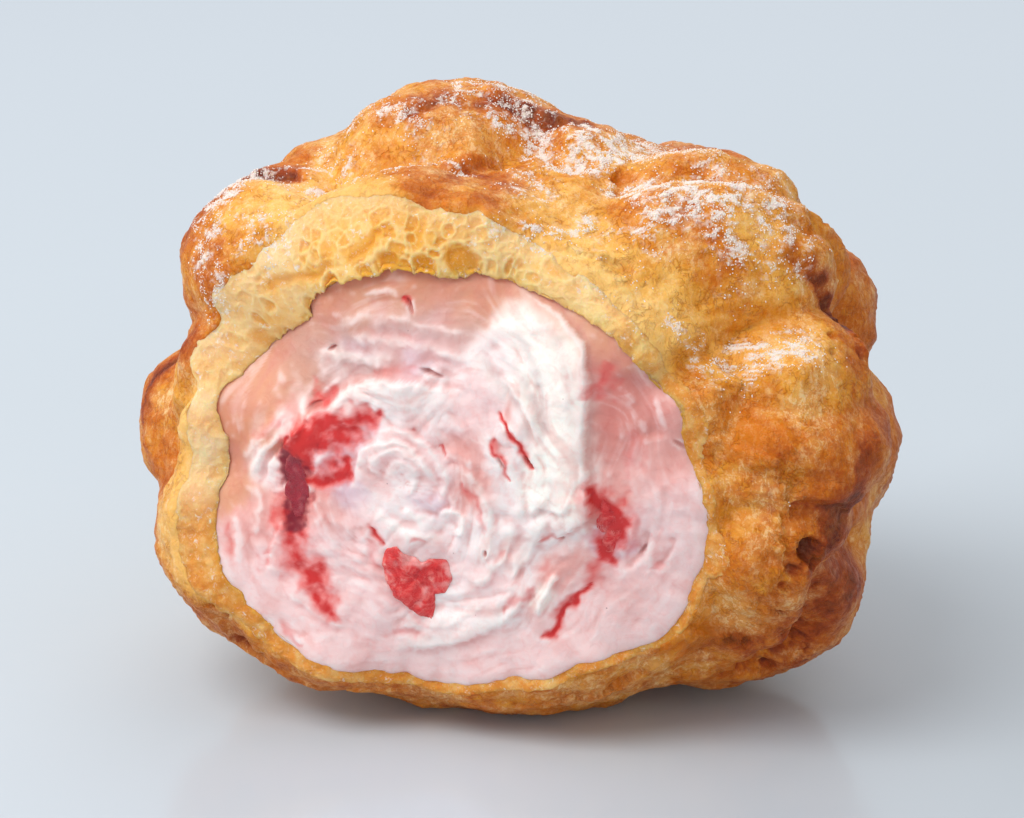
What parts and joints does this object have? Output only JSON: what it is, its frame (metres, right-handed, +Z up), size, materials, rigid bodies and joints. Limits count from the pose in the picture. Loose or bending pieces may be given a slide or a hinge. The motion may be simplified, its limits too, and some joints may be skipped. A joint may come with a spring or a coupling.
{
  "type": "cream puff",
  "caption": "Round choux bun torn open at the front, filled with marbled whipped strawberry cream and fruit pieces.",
  "frame": {"origin": "centre of the part's box, on the table plane under its flat foot", "axes": "+X along the bun's longest side, to the right as seen from its torn side; +Z up; the torn side faces -Y"},
  "size_m": [0.0893, 0.0752, 0.0699],
  "materials": {
    "choux_crust": "baked choux pastry, golden brown, satin on its domes, with a dusting of icing sugar",
    "strawberry_cream": "soft whipped cream, pale pink marbled with white and red, satin",
    "strawberry_flesh": "wet red fruit flesh, glossy"
  },
  "bodies": {
    "root": {"choux_shell": "choux_crust", "cream_filling": "strawberry_cream", "strawberry_heart_piece": "strawberry_flesh", "strawberry_left_piece": "strawberry_flesh", "strawberry_right_piece": "strawberry_flesh"}
  },
  "joints": []
}
